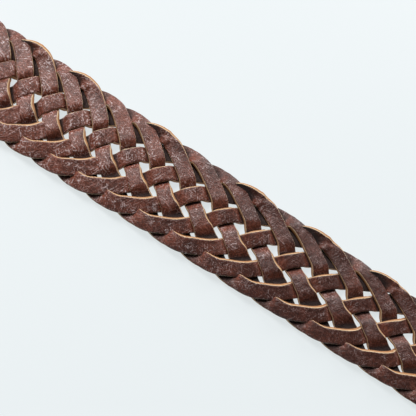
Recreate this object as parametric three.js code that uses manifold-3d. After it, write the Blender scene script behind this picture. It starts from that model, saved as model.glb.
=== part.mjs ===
// Braided leather belt, lying straight and face up. Seven flat laces are woven into one flat strap. The strap's
// ends sit between the two layers of a leather tab folded round a buckle, and of a leather tip with a round nose.
// Millimetres. X runs along the belt from the buckle to the tip, Y across it, Z up from the surface it lies on.
import * as THREE from "three";
import { mergeVertices } from "three/addons/utils/BufferGeometryUtils.js";
import Module from "manifold-3d";

const wasm = await Module();
wasm.setup();

// Laces
const laceWidth = 5.0;
const laceThickness = 1.6;
const clearance = 0.3; // between two pieces that touch on the real belt

// The weave: what a lace does at each crossing, from one edge of the strap to the other. 1 is over, -1 is under.
const weave = [1, 1, -1, 1, -1, -1];
const laceCount = weave.length + 1;

// The strap is drawn tight near the buckle and loose near the tip. Gap is between two laces that lie side by
// side, angle is the lace's angle to the belt in degrees, and sharpness, below 1, is how sharply a lace turns
// back at the strap's edge.
const tight = { length: 240, gap: 1.75, angle: 54.5, sharpness: 0.83 };
const loose = { length: 480, gap: 3.95, angle: 36, sharpness: 0.83 };
const changeSpan = 2.2; // how gradually tight becomes loose, in folds
const foldRampInner = 0.05; // half the climb round a fold at its inner and outer edge, in folds
const foldRampOuter = 0.27;

// Leather ends
const tabLeather = 1.8;
const tabGrip = 18; // length of strap held inside each end
const rampLength = 26; // over which the strap rises from the surface to enter an end
const levelLength = 7; // of level strap between this rise and an end
const buckleTabLength = 62; // from its mouth to the buckle's bar
const tipLength = 96; // from its mouth to its nose
const tipTaper = 16; // over which its layers come together past the strap
const tipRounding = 24; // length of its rounded nose

// Buckle
const barRadius = 2.0;
const frameThickness = 3.6;
const frameWidth = 5.0;
const frameReach = 38; // from the bar's axis to the middle of the front side
const frameSideGap = 1.0; // between the tab's edge and the frame
const frameCorner = 9; // outer corner radius
const frameBevel = 0.9;
const prongWidth = 4.0;
const prongThickness = 2.6;
const prongOverhang = 1.0; // past the middle of the front side
const prongHeel = 162; // degrees round the bar from the belt's side, where the arm's underside leaves the loop

const facets = { profile: 8, nose: 14, frameCorner: 5, bar: 16 }; // to a curve, and all round the bar
const mergeDistance = 1e-4; // below which two vertices are one
const cutSpare = 1; // by which a cutter passes the face that it opens

const leather = new THREE.MeshStandardMaterial({ color: 0x4a2621, roughness: 0.55, metalness: 0 });
const metal = new THREE.MeshStandardMaterial({ color: 0x8d8478, roughness: 0.35, metalness: 1 });

// Sizes that follow from the ones above

const radians = THREE.MathUtils.degToRad;
for (const part of [tight, loose]) {
  const spacing = laceWidth + part.gap;
  part.pitch = spacing / Math.sin(radians(part.angle)); // from one fold to the next along an edge
  part.row = spacing / Math.cos(radians(part.angle)) / 2; // from one row of crossings to the next
  part.swing =
    (part.row * laceCount * Math.asin(part.sharpness)) / (Math.PI * part.sharpness); // middle to a fold
}
const layerRise = (laceThickness + clearance) / 2;
const strapThickness = 2 * laceThickness + clearance;
const strapWidth = 2 * Math.max(tight.swing, loose.swing) + laceWidth;
const tabHeight = 2 * tabLeather + strapThickness + 2 * clearance;
const tabWidth = strapWidth;
const entryLift = tabLeather + clearance; // how far the strap is raised inside an end
const pocketSpare = laceWidth; // past the strap's nominal end, for its slanting lace ends
const bendRadius = barRadius + clearance + tabLeather; // outside of the leather round the bar

const firstPhase = -tight.length / tight.pitch;
const lastPhase = loose.length / loose.pitch;

// Phase counts folds along the strap's upper edge. It is 0 in the middle of the change from tight to loose.
function looseness(phase) {
  return 1 / (1 + Math.exp(-phase / changeSpan));
}

function between(name, phase) {
  return THREE.MathUtils.lerp(tight[name], loose[name], looseness(phase));
}

function strapX(phase) {
  const grown = changeSpan * Math.log1p(Math.exp(phase / changeSpan));
  return tight.pitch * phase + (loose.pitch - tight.pitch) * grown;
}

const strapStart = strapX(firstPhase);
const strapEnd = strapX(lastPhase);

// Middle line of a lace in plan. turn is its own phase: it is at the upper edge at 0, and at the lower one at
// half of laceCount.
function laceMiddle(lace, turn) {
  const phase = lace + turn;
  const sharpness = between("sharpness", phase);
  const wave = Math.asin(sharpness * Math.cos((2 * Math.PI * turn) / laceCount)) / Math.asin(sharpness);
  return new THREE.Vector2(strapX(phase), between("swing", phase) * wave);
}

// Which way a lace runs in plan, how far it goes in one turn, and at what angle it meets the laces that it crosses.
function laceRun(lace, turn) {
  const step = 0.01; // turns
  const run = laceMiddle(lace, turn + step).sub(laceMiddle(lace, turn - step)).divideScalar(2 * step);
  return { reach: run.length(), crossing: 2 * Math.atan2(Math.abs(run.y), run.x), along: run.normalize() };
}

function lacePoint(lace, turn, offset) {
  const { along } = laceRun(lace, turn);
  return laceMiddle(lace, turn).add(new THREE.Vector2(-along.y, along.x).multiplyScalar(offset));
}

function strapLift(x) {
  const fromEnd = Math.min(x - strapStart, strapEnd - x) - tabGrip - levelLength;
  return entryLift * (1 - THREE.MathUtils.smoothstep(fromEnd, 0, rampLength));
}

// The sections of one pass of a lace from edge to edge. Each has the turn of its upper and its lower side, so
// that a step from over to under follows the sides of the laces that it crosses, and its layer from -1 to 1.
function passSections(lace, pass) {
  const start = (pass * laceCount) / 2;
  const falling = pass % 2 === 0 ? 1 : -1;
  const sections = [];

  function addFold(turn, ramp, layer) {
    const inner = turn + ramp * foldRampInner;
    const outer = turn + ramp * foldRampOuter;
    const upperIsOuter = (falling > 0) === (Math.abs(turn - start) < 1);
    sections.push({ upper: upperIsOuter ? outer : inner, lower: upperIsOuter ? inner : outer, layer });
  }

  function addCrossing(row, layer) {
    const turn = start + row / 2;
    const { reach, crossing } = laceRun(lace, turn);
    const shear = (falling * laceWidth) / 2 / Math.tan(crossing) / reach;
    sections.push({ upper: turn + shear, lower: turn - shear, layer });
  }

  // Half of the stretch over which another lace lies on or under this one, in rows.
  function halfCrossing(row) {
    const { reach, crossing } = laceRun(lace, start + row / 2);
    return (laceWidth / Math.sin(crossing) + 2 * clearance) / reach;
  }

  addFold(start, 0, 0);
  addFold(start, 1, weave[0]);
  addCrossing(1, weave[0]);
  for (let row = 1; row < weave.length; row++) {
    if (weave[row] === weave[row - 1]) continue;
    addCrossing(row + halfCrossing(row), weave[row - 1]);
    addCrossing(row + 1 - halfCrossing(row + 1), weave[row]);
  }
  addCrossing(weave.length, weave.at(-1));
  addFold(start + laceCount / 2, -1, weave.at(-1));
  return sections;
}

function blendSections(a, b, turn) {
  const middleA = (a.upper + a.lower) / 2;
  const share = (turn - middleA) / ((b.upper + b.lower) / 2 - middleA);
  const mix = (name) => THREE.MathUtils.lerp(a[name], b[name], share);
  return { upper: mix("upper"), lower: mix("lower"), layer: mix("layer") };
}

function laceSections(lace) {
  const from = firstPhase - lace;
  const to = lastPhase - lace;
  const all = [];
  const firstPass = Math.floor((2 * from) / laceCount) - 1;
  const lastPass = Math.ceil((2 * to) / laceCount) + 1;
  for (let pass = firstPass; pass <= lastPass; pass++) all.push(...passSections(lace, pass));
  const middle = (section) => (section.upper + section.lower) / 2;
  const first = all.findIndex((section) => middle(section) > from);
  const last = all.findIndex((section) => middle(section) >= to);
  return [
    blendSections(all[first - 1], all[first], from),
    ...all.slice(first, last),
    blendSections(all[last - 1], all[last], to),
  ];
}

// A closed solid through four-cornered sections.
function bandGeometry(rings) {
  const positions = rings.flat().flatMap((corner) => corner.toArray());
  const index = [];
  for (let ring = 0; ring < rings.length - 1; ring++) {
    for (let side = 0; side < 4; side++) {
      const a = 4 * ring + side;
      const b = 4 * ring + ((side + 1) % 4);
      index.push(a, b, a + 4, b, b + 4, a + 4);
    }
  }
  const end = 4 * (rings.length - 1);
  index.push(0, 2, 1, 0, 3, 2, end, end + 1, end + 2, end, end + 2, end + 3);
  const geometry = new THREE.BufferGeometry();
  geometry.setAttribute("position", new THREE.Float32BufferAttribute(positions, 3));
  geometry.setIndex(index);
  geometry.computeVertexNormals();
  return geometry;
}

function laceGeometry(lace) {
  const rings = laceSections(lace).map((section) => {
    const upper = lacePoint(lace, section.upper, laceWidth / 2);
    const lower = lacePoint(lace, section.lower, -laceWidth / 2);
    const rise = strapThickness / 2 + section.layer * layerRise;
    const corner = (point, side) =>
      new THREE.Vector3(point.x, point.y, rise + strapLift(point.x) + (side * laceThickness) / 2);
    return [corner(lower, -1), corner(upper, -1), corner(upper, 1), corner(lower, 1)];
  });
  return bandGeometry(rings);
}

// Cutting and joining

function solid(geometry) {
  const bare = geometry.clone();
  bare.deleteAttribute("normal");
  bare.deleteAttribute("uv");
  const merged = mergeVertices(bare, mergeDistance);
  const triVerts = merged.index.array;
  return new wasm.Manifold(
    new wasm.Mesh({ numProp: 3, vertProperties: merged.attributes.position.array, triVerts }),
  );
}

function geometryOf(body) {
  const mesh = body.getMesh();
  const geometry = new THREE.BufferGeometry();
  geometry.setAttribute("position", new THREE.BufferAttribute(mesh.vertProperties, 3));
  geometry.setIndex(new THREE.BufferAttribute(mesh.triVerts, 1));
  geometry.computeVertexNormals();
  return geometry;
}

function box(low, high) {
  const size = high.clone().sub(low);
  const middle = low.clone().add(high).divideScalar(2);
  return new THREE.BoxGeometry(size.x, size.y, size.z).translate(middle.x, middle.y, middle.z);
}

// A profile drawn in X and Z, carried across the belt.
function acrossBelt(shape, width) {
  return new THREE.ExtrudeGeometry(shape, { depth: width, bevelEnabled: false, curveSegments: facets.profile })
    .translate(0, 0, -width / 2)
    .rotateX(Math.PI / 2);
}

// Space for the strap between the two layers of an end, open at the mouth and along both sides.
function pocket(mouth, floor) {
  return box(
    new THREE.Vector3(Math.min(mouth, floor), -tabWidth, tabLeather),
    new THREE.Vector3(Math.max(mouth, floor), tabWidth, tabHeight - tabLeather),
  );
}

const buckleMouth = strapStart + tabGrip;
const barX = buckleMouth - buckleTabLength;
const tipMouth = strapEnd - tabGrip;

// Two layers of one strip of leather, folded round the bar and pressed together between the bar and the strap.
function buckleTabGeometry() {
  const floor = strapStart - pocketSpare;
  const waist = (floor + barX) / 2;
  const waistHeight = 2 * tabLeather;
  const side = new THREE.Shape();
  side.moveTo(buckleMouth, 0);
  side.lineTo(buckleMouth, tabHeight);
  side.lineTo(floor, tabHeight);
  side.bezierCurveTo((floor + waist) / 2, tabHeight, (floor + waist) / 2, waistHeight, waist, waistHeight);
  side.bezierCurveTo((barX + waist) / 2, waistHeight, (barX + waist) / 2, 2 * bendRadius, barX, 2 * bendRadius);
  side.absarc(barX, bendRadius, bendRadius, Math.PI / 2, (3 * Math.PI) / 2, false);
  side.closePath();
  const barHole = new THREE.Path().absarc(barX, bendRadius, barRadius + clearance, 0, 2 * Math.PI, true);
  side.holes.push(barHole);
  const slotReach = barRadius + prongThickness / 2 + 2 * clearance;
  const slot = box(
    new THREE.Vector3(barX - 2 * bendRadius, -prongWidth / 2 - clearance, -tabHeight),
    new THREE.Vector3(barX + slotReach, prongWidth / 2 + clearance, 2 * tabHeight),
  );
  return geometryOf(
    solid(acrossBelt(side, tabWidth))
      .subtract(solid(pocket(buckleMouth + cutSpare, floor)))
      .subtract(solid(slot)),
  );
}

// Two layers that hold the strap and then lie on each other up to a round nose.
function tipTabGeometry() {
  const floor = strapEnd + pocketSpare;
  const nose = tipMouth + tipLength;
  const joined = floor + tipTaper;
  const height = 2 * tabLeather;
  const side = new THREE.Shape();
  side.moveTo(tipMouth, 0);
  side.lineTo(nose, 0);
  side.lineTo(nose, height);
  side.lineTo(joined, height);
  side.bezierCurveTo((floor + joined) / 2, height, (floor + joined) / 2, tabHeight, floor, tabHeight);
  side.lineTo(tipMouth, tabHeight);
  side.closePath();
  const outline = new THREE.Shape();
  outline.moveTo(tipMouth, -tabWidth / 2);
  outline.lineTo(nose - tipRounding, -tabWidth / 2);
  outline.absellipse(nose - tipRounding, 0, tipRounding, tabWidth / 2, -Math.PI / 2, Math.PI / 2, false);
  outline.lineTo(tipMouth, tabWidth / 2);
  outline.closePath();
  const plan = new THREE.ExtrudeGeometry(outline, {
    depth: tabHeight,
    bevelEnabled: false,
    curveSegments: facets.nose,
  });
  return geometryOf(
    solid(acrossBelt(side, 2 * tabWidth))
      .intersect(solid(plan))
      .subtract(solid(pocket(tipMouth - cutSpare, floor))),
  );
}

// The frame, its bar and its prong are one piece.
function buckleGeometry() {
  const windowHalf = tabWidth / 2 + frameSideGap;
  const outerHalf = windowHalf + frameWidth;
  const front = barX - frameReach;
  const frame = new THREE.Shape();
  const outerFront = front - frameWidth / 2;
  const innerFront = front + frameWidth / 2;
  const innerCorner = frameCorner - frameWidth;
  frame.moveTo(barX, -outerHalf);
  frame.lineTo(barX, -windowHalf);
  frame.lineTo(innerFront + innerCorner, -windowHalf);
  frame.absarc(innerFront + innerCorner, -windowHalf + innerCorner, innerCorner, -Math.PI / 2, -Math.PI, true);
  frame.lineTo(innerFront, windowHalf - innerCorner);
  frame.absarc(innerFront + innerCorner, windowHalf - innerCorner, innerCorner, Math.PI, Math.PI / 2, true);
  frame.lineTo(barX, windowHalf);
  frame.lineTo(barX, outerHalf);
  frame.lineTo(outerFront + frameCorner, outerHalf);
  frame.absarc(outerFront + frameCorner, outerHalf - frameCorner, frameCorner, Math.PI / 2, Math.PI, false);
  frame.lineTo(outerFront, -outerHalf + frameCorner);
  frame.absarc(outerFront + frameCorner, -outerHalf + frameCorner, frameCorner, Math.PI, 1.5 * Math.PI, false);
  frame.closePath();
  const sides = new THREE.ExtrudeGeometry(frame, {
    depth: frameThickness - 2 * frameBevel,
    bevelThickness: frameBevel,
    bevelSize: frameBevel,
    bevelOffset: -frameBevel,
    bevelSegments: 1,
    curveSegments: facets.frameCorner,
  }).translate(0, 0, bendRadius - frameThickness / 2 + frameBevel);
  const bar = new THREE.CylinderGeometry(barRadius, barRadius, 2 * windowHalf + frameWidth, facets.bar)
    .translate(barX, 0, bendRadius);
  return geometryOf(solid(sides).add(solid(bar)).add(solid(prongGeometry(front))));
}

// A loop round the bar and an arm that lies on the frame's front side.
function prongGeometry(front) {
  const loopRadius = barRadius + prongThickness / 2;
  const rest = bendRadius + frameThickness / 2 + clearance;
  const tip = front - prongOverhang;
  const side = new THREE.Shape();
  side.absarc(barX, bendRadius, loopRadius, Math.PI / 2, -radians(prongHeel), true);
  side.quadraticCurveTo((barX + front) / 2, rest, front + frameWidth / 2, rest);
  side.lineTo(tip, rest);
  side.quadraticCurveTo(tip - prongThickness / 2, rest + prongThickness / 2, tip, rest + prongThickness / 2);
  side.quadraticCurveTo((barX + front) / 2, rest + prongThickness, barX, bendRadius + loopRadius);
  return acrossBelt(side, prongWidth);
}

const belt = new THREE.Group();

function addPiece(name, geometry, material) {
  const mesh = new THREE.Mesh(geometry, material);
  mesh.name = name;
  belt.add(mesh);
}

for (let lace = 0; lace < laceCount; lace++) addPiece(`strand_${lace + 1}`, laceGeometry(lace), leather);
addPiece("buckle_tab", buckleTabGeometry(), leather);
addPiece("tip_tab", tipTabGeometry(), leather);
addPiece("buckle", buckleGeometry(), metal);

// The origin is under the middle of the whole belt.
const bounds = new THREE.Box3().setFromObject(belt);
const middle = bounds.getCenter(new THREE.Vector3());
belt.position.set(-middle.x, -middle.y, -bounds.min.z);

export default belt;
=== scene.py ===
import math

import bpy
import numpy as np
from mathutils import Matrix, Vector, kdtree


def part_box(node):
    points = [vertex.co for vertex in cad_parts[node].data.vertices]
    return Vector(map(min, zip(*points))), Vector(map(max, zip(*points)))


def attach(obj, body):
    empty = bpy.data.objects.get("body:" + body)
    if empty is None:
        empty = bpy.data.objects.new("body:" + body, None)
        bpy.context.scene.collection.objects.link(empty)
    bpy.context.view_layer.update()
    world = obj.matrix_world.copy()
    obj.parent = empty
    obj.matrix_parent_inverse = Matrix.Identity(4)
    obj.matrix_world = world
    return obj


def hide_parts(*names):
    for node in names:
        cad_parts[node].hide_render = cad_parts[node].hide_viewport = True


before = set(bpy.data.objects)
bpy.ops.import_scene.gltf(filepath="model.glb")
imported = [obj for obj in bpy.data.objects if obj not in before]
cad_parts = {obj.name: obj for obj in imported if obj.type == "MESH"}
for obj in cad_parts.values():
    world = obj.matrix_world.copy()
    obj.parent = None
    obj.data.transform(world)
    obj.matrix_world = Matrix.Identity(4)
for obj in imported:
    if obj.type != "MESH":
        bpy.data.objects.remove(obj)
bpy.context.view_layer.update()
mm = 0.001
print("frame loaded")


# Camera, at the photograph's viewing angle

photoCamera = {
    "lookAt": (-0.0805, 0.0031, 0.0),
    "distance": 0.2063,
    "azimuth": 254.6,  # degrees, from +X
    "elevation": 65.9,
    "roll": 47.13,
    "lens": 51.9,
}


def makeCamera(values):
    azimuth, elevation, roll = (math.radians(values[name]) for name in ("azimuth", "elevation", "roll"))
    back = Vector((
        math.cos(elevation) * math.cos(azimuth),
        math.cos(elevation) * math.sin(azimuth),
        math.sin(elevation),
    ))
    level = (-back).cross(Vector((0, 0, 1))).normalized()
    upright = level.cross(-back)
    right = level * math.cos(roll) + upright * math.sin(roll)
    up = upright * math.cos(roll) - level * math.sin(roll)
    place = Vector(values["lookAt"]) + back * values["distance"]
    turn = Matrix((right, up, back)).transposed().to_4x4()
    lens = bpy.data.cameras.new("photoCamera")
    lens.lens = values["lens"]
    lens.clip_start = 0.01
    camera = bpy.data.objects.new("photoCamera", lens)
    camera.matrix_world = Matrix.Translation(place) @ turn
    bpy.context.scene.collection.objects.link(camera)
    bpy.context.scene.camera = camera


makeCamera(photoCamera)
print("camera placed")


# Shader maths

class Shade:
    def __init__(self, finish, socket):
        self.finish = finish
        self.socket = socket

    def math(self, operation, first, second=0.0):
        return self.finish.node("ShaderNodeMath", {"operation": operation}, {0: first, 1: second})

    def __add__(self, other):
        return self.math("ADD", self, other)

    def __sub__(self, other):
        return self.math("SUBTRACT", self, other)

    def __rsub__(self, other):
        return self.math("SUBTRACT", other, self)

    def __mul__(self, other):
        return self.math("MULTIPLY", self, other)


class Finish:
    def __init__(self, name):
        self.material = bpy.data.materials.new(name)
        self.material.use_nodes = True
        self.tree = self.material.node_tree
        self.skin = self.tree.nodes["Principled BSDF"]

    def feed(self, socket, value):
        if isinstance(value, Shade):
            self.tree.links.new(value.socket, socket)
        else:
            socket.default_value = value

    def node(self, kind, settings, sockets, output=0):
        made = self.tree.nodes.new(kind)
        for name, value in settings.items():
            setattr(made, name, value)
        for name, value in sockets.items():
            self.feed(made.inputs[name], value)
        return Shade(self, made.outputs[output])

    def set(self, **sockets):
        for name, value in sockets.items():
            self.feed(self.skin.inputs[name.replace("_", " ")], value)

    def carried(self, attribute):
        return self.node("ShaderNodeAttribute", {"attribute_name": attribute}, {}, "Vector")

    def part(self, vector, axis):
        return self.node("ShaderNodeSeparateXYZ", {}, {0: vector}, axis)

    def scaled(self, vector, scale):
        return self.node("ShaderNodeVectorMath", {"operation": "MULTIPLY"}, {0: vector, 1: scale})

    def moved(self, vector, noise, reach):
        centred = self.node("ShaderNodeVectorMath", {"operation": "SUBTRACT"}, {0: noise, 1: (0.5, 0.5, 0.5)})
        shift = self.scaled(centred, (reach, reach, reach))
        return self.node("ShaderNodeVectorMath", {"operation": "ADD"}, {0: vector, 1: shift})

    def noise(self, vector, scale, detail=2.0, roughness=0.5, output="Fac"):
        sockets = {"Vector": vector, "Scale": scale, "Detail": detail, "Roughness": roughness}
        return self.node("ShaderNodeTexNoise", {}, sockets, output)

    def ramp(self, value, low, high, to=(0.0, 1.0)):
        sockets = {"Value": value, "From Min": low, "From Max": high, "To Min": to[0], "To Max": to[1]}
        return self.node("ShaderNodeMapRange", {"interpolation_type": "SMOOTHSTEP"}, sockets)

    def blend(self, share, first, second):
        return self.node("ShaderNodeMix", {"data_type": "RGBA"}, {0: share, 6: first, 7: second}, 2)

    def bump(self, height, strength, depth):
        sockets = {"Height": height, "Strength": strength, "Distance": depth}
        return self.node("ShaderNodeBump", {}, sockets)


def paint(red, green, blue):
    def linear(value):
        share = value / 255
        return share / 12.92 if share <= 0.04045 else ((share + 0.055) / 1.055) ** 2.4
    return (linear(red), linear(green), linear(blue), 1.0)


# Leather, from the place and the side that each piece carries: place is millimetres along, across and through the
# strip that it was cut from. Side is how far round the cut edge a point lies, then flesh, then depth. Tone is bent,
# a lighter, warmer band along the belt, and hidden under another lace.

leatherLook = {
    "creaseShade": paint(26, 13, 10),
    "dark": paint(70, 32, 21),
    "warm": paint(115, 60, 43),
    "rubbedSheen": paint(195, 184, 184),
    "grainSize": 0.9,  # mm, and so are the next four
    "grainDepth": 0.2,
    "strokeLength": 3.4,
    "strokeWidth": 0.42,
    "wander": 0.8,  # how far the grain strays
    "strokeTurns": (0.5, 1.5, 2.4),  # radians
    "cloudScale": 0.12,  # per mm, and so are the next two
    "patchScale": 0.17,
    "fineScale": 3.0,
    "rubSheenStrength": 0.44,
    "creaseShadeStrength": 0.65,
    "polish": (0.5, 0.3),  # roughness in the creases and on the ridges
    "rawRoughness": 0.85,
    "paintedUnderShade": 0.9,  # how much painted shade darkens a lace where it lies under another
    "edgeLight": paint(204, 182, 148),
    "edgeOrange": paint(154, 106, 66),
    "edgeDark": paint(90, 54, 28),
    "flesh": paint(140, 84, 46),
}


def leatherFinish(name, look):
    finish = Finish(name)
    place = finish.carried("leatherPlace")
    side = finish.carried("leatherSide")
    tone = finish.carried("leatherTone")
    bent = finish.part(tone, "X")
    lighterBand = finish.part(tone, "Y")
    hidden = finish.part(tone, "Z")
    cutness = finish.part(side, "X")
    flesh = finish.part(side, "Y")
    depth = finish.part(side, "Z")

    # Grain: short crossing ridges over small pebbles parted by creases
    wander = finish.noise(place, 0.8, 2.0, 0.5, "Color")
    warped = finish.moved(place, wander, look["wander"])
    pebbleSettings = {"feature": "DISTANCE_TO_EDGE"}
    pebbleSockets = {"Vector": warped, "Scale": 1 / look["grainSize"], "Randomness": 1.0}
    pebble = finish.ramp(finish.node("ShaderNodeTexVoronoi", pebbleSettings, pebbleSockets, "Distance"), 0.0, 0.2)
    strokeSize = (look["strokeLength"], look["strokeWidth"], look["strokeWidth"])
    strokes = []
    for turned in look["strokeTurns"]:
        sockets = {"Vector": warped, "Rotation": (0, 0, turned), "Scale": strokeSize}
        laid = finish.node("ShaderNodeMapping", {"vector_type": "TEXTURE"}, sockets)
        strokes.append(finish.noise(laid, 1.0, 1.0, 0.5))
    either = finish.node("ShaderNodeMath", {"operation": "MAXIMUM"}, {0: strokes[0], 1: strokes[1]})
    ridge = finish.ramp(either * 0.7 + strokes[2] * 0.3, 0.47, 0.68)
    fine = finish.noise(place, look["fineScale"], 2.0, 0.6)
    height = pebble * 0.2 + ridge * 0.48 + fine * 0.32

    # Colour: dark brown with warmer cloudy areas and a warmer band along the belt, warm where bent, darker creases
    # that are partly the grain's own colour and partly painted shade, and grey ridges that are partly rubbed and
    # partly painted sheen
    clouds = finish.noise(place, look["cloudScale"], 3.0, 0.55)
    cloud = finish.ramp(clouds + lighterBand * 0.35 + bent * 0.3, 0.45, 1.0)
    base = finish.blend(cloud, look["dark"], look["warm"])
    # Darker creases in the grain, partly the grain's own colour and partly painted shade
    creaseShaded = finish.blend(finish.ramp(height, 0.12, 0.5, (look["creaseShadeStrength"], 0.0)), base, look["creaseShade"])
    # Painted shade: a lace is darkened towards the crease colour where it lies under another
    creaseShaded = finish.blend(hidden * look["paintedUnderShade"], creaseShaded, look["creaseShade"])
    # Painted sheen, partly rubbed wear: grey on the raised grain in patches, more in the lighter band, none where a
    # lace lies under another
    patch = finish.noise(place, look["patchScale"], 3.0, 0.55)
    patches = finish.ramp(patch + lighterBand * 0.08, 0.42, 0.68, (0.2, 1.5))
    rubAndSheen = patches * finish.ramp(height, 0.45, 0.82, (0.0, look["rubSheenStrength"])) * (1 - hidden) * (lighterBand * 0.5 + 0.5)
    grainColour = finish.blend(rubAndSheen, creaseShaded, look["rubbedSheen"])

    # Cut edge: light near the grain, orange and fibrous below it, partly the cut's own colour and partly painted
    # light on its top corner and painted shade lower down
    fibreWay = finish.scaled(place, (0.5, 1.6, 2.6))
    fibre = finish.noise(fibreWay, 1.6, 4.0, 0.7)
    lighter = finish.ramp(depth + fibre * 0.5, 0.3, 0.8)
    cutColour = finish.blend(lighter, look["edgeLight"], look["edgeOrange"])
    cutColour = finish.blend(finish.ramp(fibre, 0.56, 0.75, (0.0, 0.5)), cutColour, look["edgeDark"])
    fleshColour = finish.blend(finish.ramp(fibre, 0.3, 0.7), look["edgeDark"], look["flesh"])

    ragged = finish.noise(place, 1.3, 3.0, 0.6)
    isCut = finish.ramp(cutness + (ragged - 0.5) * 0.4, 0.6, 0.7)
    raw = finish.blend(flesh, cutColour, fleshColour)
    isRaw = finish.node("ShaderNodeMath", {"operation": "MAXIMUM"}, {0: isCut, 1: flesh})
    shine = finish.ramp(height, 0.3, 0.8, look["polish"]) + hidden * 0.4
    finish.set(
        Base_Color=finish.blend(isRaw, grainColour, raw),
        Roughness=shine * (1 - isRaw) + isRaw * look["rawRoughness"],
        Normal=finish.bump(height * (1 - isRaw) + fibre * isRaw, 0.9, look["grainDepth"] * mm),
        Specular_IOR_Level=0.5,
    )
    return finish.material


laceLeather = leatherFinish("laceLeather", leatherLook)
tabLeather = leatherFinish("tabLeather", {**leatherLook, "rubSheenStrength": 0.16, "creaseShadeStrength": 0.45})
print("leather mixed")


# Section of a cut strip of leather, grain side up, listed from its left shoulder round to its right one.
# share and radius place a point across any width, cutness, flesh and depth are what the leather material reads.

def stripSection(thickness, shoulder, lowerEdge, topPoints, lowerPoints=3):
    points = []

    def add(share, radius, reach, height, cutness, flesh):
        points.append((share, radius, reach, height, cutness, flesh, 0.5 - height / thickness))

    half = thickness / 2
    corner = [math.radians(angle) for angle in (22.5, 45, 67.5, 90)]
    lowerCorner = [math.radians(angle) for angle in (90, 45)]
    for share in np.linspace(1, -1, topPoints):
        add(share, shoulder, 0, half, 0, 0)
    for angle in corner:
        height = half - shoulder * (1 - math.cos(angle))
        add(-1, shoulder, -math.sin(angle), height, angle / corner[-1], 0)
    for angle in lowerCorner:
        add(-1, lowerEdge, -math.sin(angle), -half + lowerEdge * (1 - math.cos(angle)), 1, 0)
    for share in np.linspace(-1, 1, lowerPoints):
        add(share, lowerEdge, 0, -half, 1, 1)
    for angle in reversed(lowerCorner):
        add(1, lowerEdge, math.sin(angle), -half + lowerEdge * (1 - math.cos(angle)), 1, 0)
    for angle in reversed(corner):
        height = half - shoulder * (1 - math.cos(angle))
        add(1, shoulder, math.sin(angle), height, angle / corner[-1], 0)
    return np.array(points).T


def meshFromRings(name, rings, attributes, material):
    count, size = rings.shape[:2]
    start = size * np.arange(count - 1)[:, None] + np.arange(size)[None, :]
    after = size * np.arange(count - 1)[:, None] + (np.arange(size) + 1)[None, :] % size
    quads = np.stack([start, after, after + size, start + size], axis=-1).reshape(-1, 4).tolist()
    ends = [list(range(size))[::-1], [size * (count - 1) + point for point in range(size)]]
    mesh = bpy.data.meshes.new(name)
    mesh.from_pydata((rings.reshape(-1, 3) * mm).tolist(), [], quads + ends)
    for attribute, values in attributes.items():
        mesh.attributes.new(attribute, "FLOAT_VECTOR", "POINT")
        mesh.attributes[attribute].data.foreach_set("vector", values.reshape(-1).astype(np.float32))
    mesh.materials.append(material)
    mesh.shade_smooth()
    piece = bpy.data.objects.new(name, mesh)
    bpy.context.scene.collection.objects.link(piece)
    return piece


# The braid: seven laces along the same paths as the CAD's, in millimetres, with rounded shoulders, soft steps
# over and under each other, and edges that lift where a lace is pulled over its neighbours.

braid = {
    "laceWidth": 5.0,
    "laceThickness": 1.6,
    "clearance": 0.3,
    "lift": 1.15,  # of the middle of a lace over or under the strap's own
    "weave": (1, 1, -1, 1, -1, -1),
    "tight": {"length": 240.0, "gap": 1.75, "angle": 54.5, "looseness": 0},
    "loose": {"length": 480.0, "gap": 3.95, "angle": 36.0, "looseness": 1},
    "sharpness": 0.83,
    "changeSpan": 2.2,
    "tabGrip": 18.0,
    "levelLength": 7.0,
    "rampLength": 26.0,
    "entryLift": 2.1,
    "station": 0.6,
    "shoulder": 0.5,
    "lowerEdge": 0.25,
    "crown": 0.12,
    "crinkle": 0.05,
    "raise": 0.6,
    "climb": 0.09,  # turns over which a lace's edge rises from a fold, at its inner edge
    "outerClimb": 0.23,  # more at its outer edge
    "slantEase": 0.45,
    "leastCrossing": 0.3,  # radians
    "stepMargin": 0.25,
    "warmSteepness": 0.9,  # slope of a step at which the leather is warmest
    "samples": 12000,
    "grainOffset": 1300,  # between the grain of one lace and of the next
    "drifts": ((90, 30), (60, 18), (50, 14), (70, 20)),  # longest and shortest waves of shift, tilt, curl and width
    "crinkleWaves": (4.5, 1.6, 10),  # longest, shortest and how many
    "footing": 0.05,  # least height of a lace's underside
    "footingSpan": 3,  # stations over which it is reached
    "lighterBandAt": -150.0,  # where along the belt the leather is lightest, and how far it is to the next such place
    "lighterBandEvery": 250.0,
    "seed": 11,
}

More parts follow.
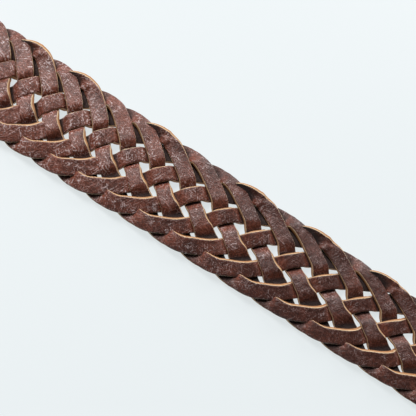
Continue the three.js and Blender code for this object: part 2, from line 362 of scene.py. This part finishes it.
# How a lace lies at each place on its way from the strap's upper edge to the lower and back: its tilt and the curl
# of its upper side in degrees, its shift in millimetres, its width as a share of the usual one where the braid is
# tight and where it is loose, and the share of the curl that is left where it is tight. Above 0, tilt, curl and
# shift raise or move the side nearer the strap's upper edge.
lacePose = (
    # place, tilt, curl, shift, tight width, loose width, tight curl
    ("upper fold", 2, 4, 0, 1.1, 1.12, 1),
    ("falling row 1", 2, 3, 0, 1.1, 1.12, 1),
    ("falling row 2", 3, 5, 0, 1.1, 1.1, 1),
    ("falling row 3", 4, 12, -0.2, 1.0, 1.25, 1),
    ("falling row 4", 13, 34, -1.2, 1.05, 1.12, 1),
    ("falling row 5", 10, 14, 0.2, 1.04, 1.45, 1),
    ("falling row 6", 6, 6, 0, 1.1, 1.15, 1),
    ("lower fold", 17, 6, 0, 1.0, 1.0, 0.6),
    ("rising row 6", 20, 18, -1.2, 1.14, 1.1, 0.6),
    ("rising row 5", 18, 22, -2.0, 1.1, 1.1, 0.9),
    ("rising row 4", 10, 8, -1.2, 1.06, 1.25, 0.6),
    ("rising row 3", 14, 20, -0.2, 1.02, 1.02, 0),
    ("rising row 2", 6, 8, 0, 1.15, 1.2, 0),
    ("rising row 1", 2, 4, 0, 1.4, 1.6, 1),
)
raisedFolds = (-12, -10, -8, -5, -3, 0, 3, 5, 7, 10, 12, 15, 17, 19, 22, 24)  # these show their cut edge
foldPose = {
    "reach": 0.65,  # turns of the braid
    "raisedTilt": 34,
    "raisedCurl": 16,
    "restingTilt": -14,
    "tiltDrift": 4,
    "curlDrift": 0.3,
    "shiftDrift": 0.22,
    "widthDrift": 0.03,
    "flatShare": 0.15,  # of a lace's half width, before its curl begins
    "curlPower": 1.4,
    "curlSteps": 9,
    "propped": 0.45,  # share of the tilted side's height that lifts an upper lace off the one below
}


def smoothStep(value):
    share = np.clip(value, 0, 1)
    return share * share * (3 - 2 * share)


class Wobble:
    # Smooth seeded waves along a strip, added up and mostly between -1 and 1
    def __init__(self, maker, longest, shortest, count=5):
        self.numbers = 2 * math.pi / maker.uniform(shortest, longest, count)
        self.starts = maker.uniform(0, 2 * math.pi, count)

    def at(self, along):
        waves = np.sin(along[..., None] * self.numbers + self.starts)
        return waves.mean(axis=-1) * math.sqrt(2)


# Low waves over a strip, crossing it at seeded angles
def wavy(maker, along, across, waves):
    longest, shortest, count = waves
    return sum(
        Wobble(maker, longest, shortest, 1).at(along[:, None] * math.cos(angle) + across * math.sin(angle))
        for angle in maker.uniform(0, math.pi, count)
    ) / math.sqrt(count)


laceCount = len(braid["weave"]) + 1
sharpness = braid["sharpness"]
for part in (braid["tight"], braid["loose"]):
    spacing = braid["laceWidth"] + part["gap"]
    part["pitch"] = spacing / math.sin(math.radians(part["angle"]))
    part["row"] = spacing / math.cos(math.radians(part["angle"])) / 2
    part["swing"] = part["row"] * laceCount * math.asin(sharpness) / (math.pi * sharpness)
firstPhase = -braid["tight"]["length"] / braid["tight"]["pitch"]
lastPhase = braid["loose"]["length"] / braid["loose"]["pitch"]
strapThickness = 2 * braid["laceThickness"] + braid["clearance"]


def between(name, phase):
    share = 1 / (1 + np.exp(-phase / braid["changeSpan"]))
    return braid["tight"][name] + (braid["loose"][name] - braid["tight"][name]) * share


def strapX(phase):
    grown = braid["changeSpan"] * np.logaddexp(0, phase / braid["changeSpan"])
    return braid["tight"]["pitch"] * phase + (braid["loose"]["pitch"] - braid["tight"]["pitch"]) * grown


tipLow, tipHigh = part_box("tip_tab")
strapEnd = tipLow.x / mm + braid["tabGrip"]
originX = strapEnd - strapX(lastPhase)
strapStart = originX + strapX(firstPhase)


def laceMiddle(lace, turn):
    phase = lace + turn
    wave = np.arcsin(sharpness * np.cos(2 * np.pi * turn / laceCount)) / math.asin(sharpness)
    return np.stack([originX + strapX(phase), between("swing", phase) * wave], axis=-1)


# Layer of a lace, from -1 under to 1 over, where rows counts rows of crossings from the fold that it left.
def laceLayer(turn, outward, halfCrossing):
    weave = (0,) + braid["weave"] + (0,)
    passes = np.floor(2 * turn / laceCount)
    rows = 2 * turn - passes * laceCount
    row = np.clip(np.floor(rows), 0, laceCount - 1).astype(int)
    layers = np.array(weave, float)
    share = smoothStep((rows - row - halfCrossing) / (1 - 2 * halfCrossing))
    stepped = layers[row] + (layers[row + 1] - layers[row]) * share
    fromFold = np.where(rows < laceCount / 2, rows, rows - laceCount) / 2
    climb = braid["climb"] + braid["outerClimb"] * outward
    climbing = np.sin(np.pi / 2 * np.clip(fromFold / climb, -1, 1))
    return np.where(np.abs(fromFold) < 0.5, climbing, stepped)


def posed(column, turn):
    keys = np.array([row[column] for row in lacePose], float)
    place = (2 * turn) % len(keys)
    low = np.floor(place).astype(int) % len(keys)
    share = smoothStep(place - np.floor(place))
    return keys[low] + (keys[(low + 1) % len(keys)] - keys[low]) * share


def makeLace(lace, section):
    maker = np.random.RandomState(braid["seed"] + lace)
    half = braid["laceWidth"] / 2
    samples = np.linspace(firstPhase - lace, lastPhase - lace, braid["samples"])
    steps = np.linalg.norm(np.diff(laceMiddle(lace, samples), axis=0), axis=1)
    lengths = np.concatenate([[0], np.cumsum(steps)])
    along = np.linspace(0, lengths[-1], int(lengths[-1] / braid["station"]))
    turn = np.interp(along, lengths, samples)

    drift, tiltDrift, curlDrift, widthDrift = (Wobble(maker, *waves) for waves in braid["drifts"])

    centre = laceMiddle(lace, turn)
    run = np.gradient(centre, axis=0)
    run /= np.linalg.norm(run, axis=1)[:, None]
    left = np.stack([-run[:, 1], run[:, 0]], axis=-1)

    def riseAt(x):
        fromEnd = np.minimum(x - strapStart, strapEnd - x)
        return smoothStep((fromEnd - braid["tabGrip"] - braid["levelLength"]) / braid["rampLength"])

    free = riseAt(centre[:, 0])
    looseness = between("looseness", turn + lace)
    centre = centre + left * (free * (posed(3, turn) + foldPose["shiftDrift"] * drift.at(along)))[:, None]
    reach = np.gradient(along) / np.gradient(turn)
    crossing = 2 * np.arctan2(np.abs(run[:, 1]), run[:, 0])

    share, radius, corner, height, cutness, flesh, depth = section
    width = posed(4, turn) + (posed(5, turn) - posed(4, turn)) * looseness
    width = half * (1 + free * (width - 1 + foldPose["widthDrift"] * widthDrift.at(along)))
    across = share * (width[:, None] - radius) + radius * corner
    heights = np.broadcast_to(height, across.shape).copy()
    onTop = (cutness == 0)[None, :]
    heights += onTop * braid["crown"] * (1 - (across / half) ** 2)

    # Steps up and down follow the slanting sides of the laces that are crossed.
    swinging = np.sin(2 * np.pi * turn / laceCount)
    falling = np.sign(swinging) * smoothStep(np.abs(swinging) / braid["slantEase"])
    slant = falling / np.tan(np.maximum(crossing, braid["leastCrossing"])) / reach
    sheared = turn[:, None] - slant[:, None] * across
    atUpperFold = np.cos(2 * np.pi * turn / laceCount) > 0
    outward = 0.5 + 0.5 * across / half * np.where(atUpperFold, 1, -1)[:, None]
    halfCrossing = (half / np.sin(crossing) - braid["stepMargin"]) / (reach / 2)
    layer = laceLayer(sheared, np.clip(outward, 0, 1), halfCrossing[:, None])

    fold = lace + laceCount * np.round(turn / laceCount)
    toFold = np.abs(turn - laceCount * np.round(turn / laceCount))
    raised = np.isin(np.round(fold), raisedFolds)
    nearFold = np.exp(-(toFold / foldPose["reach"]) ** 2)
    foldTilt = np.where(raised, foldPose["raisedTilt"], foldPose["restingTilt"]) * nearFold
    foldCurl = np.where(raised, foldPose["raisedCurl"], 0) * nearFold
    tilt = np.radians(free * (posed(1, turn) + foldTilt + foldPose["tiltDrift"] * tiltDrift.at(along)))
    rowCurl = posed(2, turn) * (looseness + posed(6, turn) * (1 - looseness))
    curl = np.radians(free * (rowCurl + foldCurl) * (1 + foldPose["curlDrift"] * curlDrift.at(along)))

    # The upper side of the section is bent along an arc. Its slope is averaged from the middle out.
    flat = foldPose["flatShare"] * half
    shares = np.linspace(0, 1, foldPose["curlSteps"])
    walk = across[..., None] * shares
    bend = np.clip((walk - flat) / (half - flat), 0, 1) ** foldPose["curlPower"]
    slope = tilt[:, None, None] + curl[:, None, None] * bend
    sideways = across * np.cos(slope).mean(axis=-1)
    upward = across * np.sin(slope).mean(axis=-1)

    plan = centre[:, None, :] + left[:, None, :] * sideways[..., None]
    rise = riseAt(plan[..., 0])
    support = foldPose["propped"] * half * np.sin(np.abs(tilt))[:, None] * smoothStep(layer)
    layerLift = braid["lift"] * rise + (braid["laceThickness"] + braid["clearance"]) / 2 * (1 - rise)
    level = strapThickness / 2 + layer * layerLift + braid["entryLift"] * (1 - rise) + braid["raise"] * rise
    surface = level + upward + support
    sunk = np.maximum(0, braid["footing"] + braid["laceThickness"] / 2 - surface.min(axis=1))
    span = braid["footingSpan"]
    lowest = np.max([np.roll(sunk, shift) for shift in range(-span, span + 1)], axis=0)
    spread = np.hanning(2 * span + 3)
    surface = surface + np.convolve(lowest, spread / spread.sum(), "same")[:, None]
    middle = np.concatenate([plan, surface[..., None]], axis=-1)

    forward = np.gradient(middle, axis=0)
    leftward = np.concatenate([
        left[:, None, :] * np.cos(slope[..., -1])[..., None],
        np.sin(slope[..., -1])[..., None],
    ], axis=-1)
    normal = np.cross(forward, leftward)
    normal /= np.linalg.norm(normal, axis=-1)[..., None]
    heights += onTop * braid["crinkle"] * wavy(maker, along, across, braid["crinkleWaves"])
    rings = middle + normal * heights[..., None]

    ones = np.ones_like(across)
    place = np.stack([along[:, None] + braid["grainOffset"] * lace * ones, across, heights], axis=-1)
    side = np.stack([cutness * ones, flesh * ones, depth * ones], axis=-1)
    steep = np.abs(np.gradient(layer, axis=0) / np.gradient(along)[:, None])
    lighterBand = 0.5 + 0.5 * np.cos(2 * np.pi * (plan[..., 0] - braid["lighterBandAt"]) / braid["lighterBandEvery"])
    tone = np.stack([smoothStep(steep / braid["warmSteepness"]), lighterBand, smoothStep(-layer)], axis=-1)
    attributes = {"leatherPlace": place, "leatherSide": side, "leatherTone": tone}
    piece = meshFromRings(f"lace_{lace + 1}", rings, attributes, laceLeather)
    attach(piece, "root")
    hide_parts(f"strand_{lace + 1}")


laceSection = stripSection(braid["laceThickness"], braid["shoulder"], braid["lowerEdge"], 9)
for lace in range(laceCount):
    makeLace(lace, laceSection)
print("laces braided")


# The two ends: one strip of leather folded round the buckle's bar, and two layers that meet in a round nose.

ends = {
    "thickness": 1.8,
    "shoulder": 0.45,
    "lowerEdge": 0.25,
    "buckleLength": 62.0,
    "pocketSpare": 5.0,
    "tipTaper": 16.0,
    "tipRounding": 24.0,
    "station": 0.7,
    "softness": 0.12,  # height of the waves in the leather
    "waves": (16, 7, 8),  # longest, shortest and how many
    "grainOffset": 900,
    "lighterBand": 0.35,
    "bendPoints": 30,
    "turnPoints": 40,  # round the bar
    "noseCut": 0.9995,  # share of the rounded nose's length that is kept
    "endShade": (0.2, 0.6),  # depth that the cut end starts from, and its range
    "slotWidth": 4.6,
    "slotPastBar": 3.9,
}
buckle = {
    "barRadius": 2.0,
    "shoulderRadius": 1.6,
    "frameThickness": 3.6,
    "frameWidth": 5.0,
    "frameCorner": 9.0,
    "frameRounding": 1.3,
    "frameEnd": 0.97,  # how far round its end the frame's side goes
    "prongWidth": 4.0,
    "prongThickness": 2.6,
    "prongOverhang": 1.0,
    "prongNose": 1.8,
    "prongTaper": 0.8,  # of its width, from the bar to the nose
    "prongRounding": 0.7,
    "prongHeel": (0.95, 0.3),  # how far behind and below the bar the arm meets the loop, as shares of its radius
    "prongRoot": 0.65,  # of the loop's radius, where the arm ends inside it
    "loopSpan": (115, -165),  # degrees round the bar
}

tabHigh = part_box("buckle_tab")[1]
halfTab = tabHigh.y / mm
tabHeight = 2 * ends["thickness"] + strapThickness + 2 * braid["clearance"]
buckleMouth = tabHigh.x / mm
barX = buckleMouth - ends["buckleLength"]
barZ = buckle["barRadius"] + braid["clearance"] + ends["thickness"]
tipMouth = tipLow.x / mm
tipNose = tipHigh.x / mm


def bezier(points, count):
    first, second, third, fourth = (np.array(point, float) for point in points)
    t = np.linspace(0, 1, count)[:, None]
    return (1 - t) ** 3 * first + 3 * t * (1 - t) ** 2 * second + 3 * t ** 2 * (1 - t) * third + t ** 3 * fourth


# An S-shaped bend from one level to another
def softBend(start, end):
    middle = (start[0] + end[0]) / 2
    return bezier([start, (middle, start[1]), (middle, end[1]), end], ends["bendPoints"])


def evenly(path, step):
    lengths = np.concatenate([[0], np.cumsum(np.linalg.norm(np.diff(path, axis=0), axis=1))])
    along = np.linspace(0, lengths[-1], int(lengths[-1] / step) + 1)
    return along, np.stack([np.interp(along, lengths, path[:, axis]) for axis in (0, 1)], axis=-1)


# A wide strip of leather along a path in X and Z, grain side to the left of the path's way as seen from the front.
def makeTab(name, path, halfWidth, node, grainUp=1, seed=1):
    maker = np.random.RandomState(seed)
    along, centre = evenly(path, ends["station"])
    width = halfWidth(centre[:, 0])
    run = np.gradient(centre, axis=0)
    run /= np.linalg.norm(run, axis=1)[:, None]
    share, radius, corner, height, cutness, flesh, depth = stripSection(
        ends["thickness"], ends["shoulder"], ends["lowerEdge"], 31, 9)
    radius = np.minimum(radius, width[:, None])
    across = grainUp * (share * (width[:, None] - radius) + radius * corner)
    onTop = (cutness == 0)[None, :]
    waves = wavy(maker, along, across, ends["waves"])
    heights = np.broadcast_to(height, across.shape) + onTop * ends["softness"] * waves
    normalX = -grainUp * run[:, 1]
    normalZ = grainUp * run[:, 0]
    rings = np.stack([
        centre[:, :1] + normalX[:, None] * heights,
        across,
        centre[:, 1:] + normalZ[:, None] * heights,
    ], axis=-1)
    ones = np.ones_like(across)
    cut = np.stack([cutness * ones, flesh * ones, depth * ones], axis=-1)
    shallow, spread = ends["endShade"]
    cutEnd = np.stack([ones[:1], 0 * ones[:1], shallow + spread * depth * ones[:1]], axis=-1)
    place = np.stack([along[:, None] + ends["grainOffset"] * (seed + 10) * ones, across, heights], axis=-1)
    lighterBand = np.stack([0 * ones, ends["lighterBand"] * ones, 0 * ones], axis=-1)
    attributes = {
        "leatherPlace": np.concatenate([place[:1], place, place[-1:]]),
        "leatherSide": np.concatenate([cutEnd, cut, cutEnd]),
        "leatherTone": np.concatenate([lighterBand[:1], lighterBand, lighterBand[-1:]]),
    }
    piece = meshFromRings(name, np.concatenate([rings[:1], rings, rings[-1:]]), attributes, tabLeather)
    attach(piece, "root")
    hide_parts(node)
    return piece


# The strip starts under the strap, runs to the bar, turns round it and comes back over the strap.
def bucklePath():
    half = ends["thickness"] / 2
    bendRadius = barZ - half
    floor = strapStart - ends["pocketSpare"]
    waist = (floor + barX) / 2
    angles = np.linspace(-math.pi / 2, -1.5 * math.pi, ends["turnPoints"])
    turned = np.stack([barX + bendRadius * np.cos(angles), barZ + bendRadius * np.sin(angles)], axis=-1)
    topZ = tabHeight - half
    waistZ = 3 * half
    under = np.array([(buckleMouth, half), (barX, half)])
    fall = softBend(turned[-1], (waist, waistZ))
    climb = softBend((waist, waistZ), (floor, topZ))
    return np.concatenate([under, turned[1:], fall[1:], climb[1:], [(buckleMouth, topZ)]])


def tipWidth(x):
    inNose = np.clip((x - (tipNose - ends["tipRounding"])) / ends["tipRounding"], 0, ends["noseCut"])
    return halfTab * np.sqrt(1 - inNose ** 2)


def tipPath(top):
    half = ends["thickness"] / 2
    if not top:
        return np.array([(tipMouth, half), (tipNose, half)])
    floor = strapEnd + ends["pocketSpare"]
    joined = floor + ends["tipTaper"]
    topZ = tabHeight - half
    fall = softBend((floor, topZ), (joined, 3 * half))
    return np.concatenate([[(tipMouth, topZ)], fall, [(tipNose, 3 * half)]])


# Opening for the prong, cut through the fold at the bar
def cutSlot(piece, low, high):
    mesh = bpy.data.meshes.new("slotCutter")
    corners = [(x, y, z) for x in (low[0], high[0]) for y in (low[1], high[1]) for z in (low[2], high[2])]
    faces = [(0, 1, 3, 2), (4, 6, 7, 5), (0, 4, 5, 1), (2, 3, 7, 6), (0, 2, 6, 4), (1, 5, 7, 3)]
    mesh.from_pydata([tuple(value * mm for value in corner) for corner in corners], [], faces)
    mesh.materials.append(tabLeather)
    cutter = bpy.data.objects.new("slotCutter", mesh)
    bpy.context.scene.collection.objects.link(cutter)
    cut = piece.modifiers.new("slot", "BOOLEAN")
    cut.operation = "DIFFERENCE"
    cut.solver = "EXACT"
    cut.object = cutter
    whole = piece.data
    opened = bpy.data.meshes.new_from_object(piece.evaluated_get(bpy.context.evaluated_depsgraph_get()))
    piece.modifiers.remove(cut)
    bpy.data.objects.remove(cutter)

    # The cut loses what the leather's vertices carry, so each takes it from the nearest one of the whole piece.
    tree = kdtree.KDTree(len(whole.vertices))
    for vertex in whole.vertices:
        tree.insert(vertex.co, vertex.index)
    tree.balance()
    nearest = [tree.find(vertex.co)[1] for vertex in opened.vertices]
    for attribute in ("leatherPlace", "leatherSide", "leatherTone"):
        values = np.zeros((len(whole.vertices), 3), np.float32)
        whole.attributes[attribute].data.foreach_get("vector", values.ravel())
        if attribute not in opened.attributes:
            opened.attributes.new(attribute, "FLOAT_VECTOR", "POINT")
        opened.attributes[attribute].data.foreach_set("vector", values[nearest].ravel())
    piece.data = opened


buckleTab = makeTab("buckleEnd", bucklePath(), lambda x: np.full_like(x, halfTab), "buckle_tab", 1, 1)
slotHalf = ends["slotWidth"] / 2
cutSlot(buckleTab, (barX - 2 * barZ, -slotHalf, -barZ), (barX + ends["slotPastBar"], slotHalf, 3 * barZ))
makeTab("tipUnder", tipPath(False), tipWidth, "tip_tab", -1, 2)
makeTab("tipOver", tipPath(True), tipWidth, "tip_tab", 1, 3)
print("leather ends folded")


# The buckle, in aged brass: a frame with three sides, its bar, and the prong with its loop round the bar.
# No part of it is in the photograph.

brassLook = {
    "clean": paint(178, 160, 130),
    "patina": paint(120, 102, 78),
    "polish": (0.3, 0.52),
    "scratchDepth": 0.01,  # mm
}


def metalFinish(name, look):
    finish = Finish(name)
    place = finish.scaled(finish.node("ShaderNodeTexCoord", {}, {}, "Object"), (1000, 1000, 1000))
    cloud = finish.noise(place, 0.2, 4.0, 0.6)
    scratches = finish.noise(finish.scaled(place, (0.25, 2.4, 2.4)), 1.5, 3.0, 0.6)
    aged = finish.ramp(cloud + (scratches - 0.5) * 0.3, 0.46, 0.7)
    finish.set(
        Base_Color=finish.blend(aged, look["clean"], look["patina"]),
        Metallic=1.0,
        Roughness=finish.ramp(cloud * 0.6 + scratches * 0.4, 0.35, 0.65, look["polish"]),
        Normal=finish.bump(scratches, 0.5, look["scratchDepth"] * mm),
    )
    return finish.material


brass = metalFinish("agedBrass", brassLook)


def roundedSection(width, height, rounding, perCorner=6):
    points = []
    for start, sideways, upward in ((0, 1, 1), (90, -1, 1), (180, -1, -1), (270, 1, -1)):
        for angle in np.radians(np.linspace(start, start + 90, perCorner)):
            across = sideways * (width / 2 - rounding) + rounding * math.cos(angle)
            points.append((across, upward * (height / 2 - rounding) + rounding * math.sin(angle)))
    return np.array(points).T


def addMetal(name, x, y, z):
    piece = meshFromRings(name, np.stack(np.broadcast_arrays(x, y, z), axis=-1), {}, brass)
    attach(piece, "root")
    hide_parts("buckle")


def makeBuckle(values):
    boxLow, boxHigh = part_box("buckle")
    width = values["frameWidth"]
    sideY = boxHigh.y / mm - width / 2
    frontX = boxLow.x / mm + width / 2
    corner = values["frameCorner"] - width / 2

    # Frame: its ends past the bar are rounded as seen from the side
    endRound = values["frameThickness"] / 2
    ending = np.sin(np.linspace(values["frameEnd"] * math.pi / 2, 0, 8))
    straight = np.linspace(barX, frontX + corner, 12)[1:-1]
    quarter = np.linspace(0, math.pi / 2, 12)
    oneSide = np.concatenate([
        np.stack([barX + endRound * ending, sideY + 0 * ending], axis=-1),
        np.stack([straight, sideY + 0 * straight], axis=-1),
        np.stack([frontX + corner - corner * np.sin(quarter), sideY - corner + corner * np.cos(quarter)], axis=-1),
    ])
    path = np.concatenate([oneSide, oneSide[::-1] * (1, -1)])
    low = np.ones(len(oneSide))
    low[:len(ending)] = np.sqrt(1 - ending ** 2)
    low = np.concatenate([low, low[::-1]])
    run = np.gradient(path, axis=0)
    run /= np.linalg.norm(run, axis=1)[:, None]
    across, up = roundedSection(width, values["frameThickness"], values["frameRounding"])
    addMetal(
        "buckleFrame",
        path[:, :1] - run[:, 1:] * across,
        path[:, 1:] + run[:, :1] * across,
        barZ + low[:, None] * up,
    )

    # Bar: full between the sides, thinner where it enters them
    window = sideY - width / 2
    shoulders = np.array([-sideY, 0.1 - window, 0.5 - window, window - 0.5, window - 0.1, sideY])[:, None]
    thin = values["shoulderRadius"]
    radius = np.array([thin, thin, values["barRadius"], values["barRadius"], thin, thin])[:, None]
    around = np.linspace(0, 2 * math.pi, 32, endpoint=False)
    addMetal("buckleBar", barX - radius * np.cos(around), shoulders, barZ + radius * np.sin(around))

    # Prong: a loop round the bar, and an arm from it to the front side
    wall = values["prongThickness"] / 2
    angles = np.radians(np.linspace(*values["loopSpan"], 48))[:, None]
    across, up = roundedSection(values["prongWidth"], wall, wall * 0.4)
    reach = values["barRadius"] + wall / 2 + up
    addMetal("prongLoop", barX + reach * np.cos(angles), across, barZ + reach * np.sin(angles))

    loopReach = values["barRadius"] + wall
    restZ = barZ + values["frameThickness"] / 2 + braid["clearance"]
    noseX = frontX - values["prongOverhang"]
    midX = (barX + frontX) / 2
    heelX = barX - values["prongHeel"][0] * loopReach
    heelZ = barZ - values["prongHeel"][1] * loopReach
    topZ = restZ + values["prongThickness"]
    upper = bezier([(noseX, restZ + wall), (midX, topZ), (midX, topZ), (barX, barZ + loopReach)], 60)
    lower = bezier([(frontX + width / 2, restZ), (midX, restZ), (midX, restZ), (heelX, heelZ)], 60)
    overBar = np.sin(np.linspace(0, math.pi / 2, 8))
    root = values["prongRoot"] * loopReach
    insideLoop = np.stack([barX - root * (1 - overBar), barZ + root * overBar], axis=-1)
    lower = np.concatenate([[(noseX, restZ)], lower, insideLoop])
    x = np.concatenate([noseX + values["prongNose"] * (1 - np.cos(quarter)), np.linspace(noseX + 2.5, barX, 50)])
    nose = np.sqrt(np.clip((x - noseX) / values["prongNose"], 0.01, 1))
    high = np.interp(x, upper[:, 0], upper[:, 1])
    low = np.interp(x, lower[:, 0], lower[:, 1])
    middle = (high + low) / 2
    narrow = 1 - (1 - values["prongTaper"]) * (barX - x) / (barX - noseX)
    across, up = roundedSection(values["prongWidth"] - 0.1, values["prongThickness"], values["prongRounding"])
    halfArm = (high - low) / values["prongThickness"] * nose
    addMetal("prongArm", x[:, None], (narrow * nose)[:, None] * across, middle[:, None] + halfArm[:, None] * up)


makeBuckle(buckle)
print("buckle cast")


# Floor and light

studio = {
    "floor": (0.1, 0.104, 0.108),
    "floorGlow": (0.66, 0.705, 0.715),
    "floorSize": 6.0,
    "skyColour": (0.93, 0.97, 1.0),
    "skyStrength": 0.12,
    "lamps": (
        # name, place, size, watts
        ("mainSoftbox", (-0.78, 0.28, 0.92), 0.5, 19.0),
        ("backSoftbox", (0.1, 1.3, 0.7), 0.9, 16.0),
    ),
}


def makeFloor(values):
    half = values["floorSize"] / 2
    mesh = bpy.data.meshes.new("floor")
    mesh.from_pydata([(-half, -half, 0), (half, -half, 0), (half, half, 0), (-half, half, 0)], [], [(0, 1, 2, 3)])
    finish = Finish("paleFloor")
    finish.set(
        Base_Color=(*values["floor"], 1.0),
        Roughness=0.7,
        Emission_Color=(*values["floorGlow"], 1.0),
        Emission_Strength=1.0,
    )
    mesh.materials.append(finish.material)
    floor = bpy.data.objects.new("floor", mesh)
    bpy.context.scene.collection.objects.link(floor)


def makeLights(values):
    for name, place, size, watts in values["lamps"]:
        lamp = bpy.data.lights.new(name, "AREA")
        lamp.size = size
        lamp.energy = watts
        softbox = bpy.data.objects.new(name, lamp)
        softbox.location = place
        toBelt = Vector(photoCamera["lookAt"]) - softbox.location
        softbox.rotation_euler = toBelt.to_track_quat("-Z", "Y").to_euler()
        bpy.context.scene.collection.objects.link(softbox)
    world = bpy.data.worlds.new("paleRoom")
    world.use_nodes = True
    sky = world.node_tree.nodes["Background"]
    sky.inputs["Color"].default_value = (*values["skyColour"], 1.0)
    sky.inputs["Strength"].default_value = values["skyStrength"]
    bpy.context.scene.world = world


makeFloor(studio)
makeLights(studio)
bpy.context.scene.view_settings.view_transform = "Standard"
print("floor and light ready")
